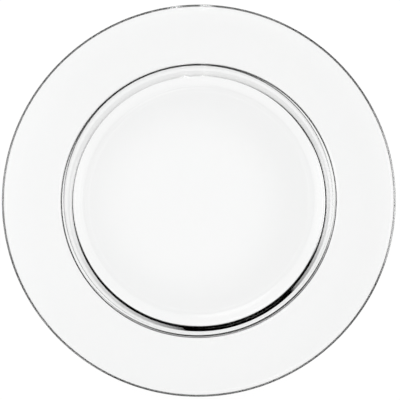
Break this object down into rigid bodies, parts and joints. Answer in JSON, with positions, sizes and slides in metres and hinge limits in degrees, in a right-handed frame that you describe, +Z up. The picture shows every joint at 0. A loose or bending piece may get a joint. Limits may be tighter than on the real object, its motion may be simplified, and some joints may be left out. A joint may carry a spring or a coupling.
{
  "type": "cake plate",
  "caption": "Round clear pressed-glass plate with a wide shallow rim, a sloping wall and a flat well that carries a cake.",
  "frame": {"origin": "centre of the plane that the foot ring stands on, on the plate's axis", "axes": "+Z up along the plate's axis of turning, +X and +Y any two level directions at right angles"},
  "size_m": [0.33, 0.33, 0.0222],
  "materials": {
    "clear_glass": "clear, fire polished, smooth"
  },
  "bodies": {
    "root": {"plate": "clear_glass"}
  },
  "joints": []
}
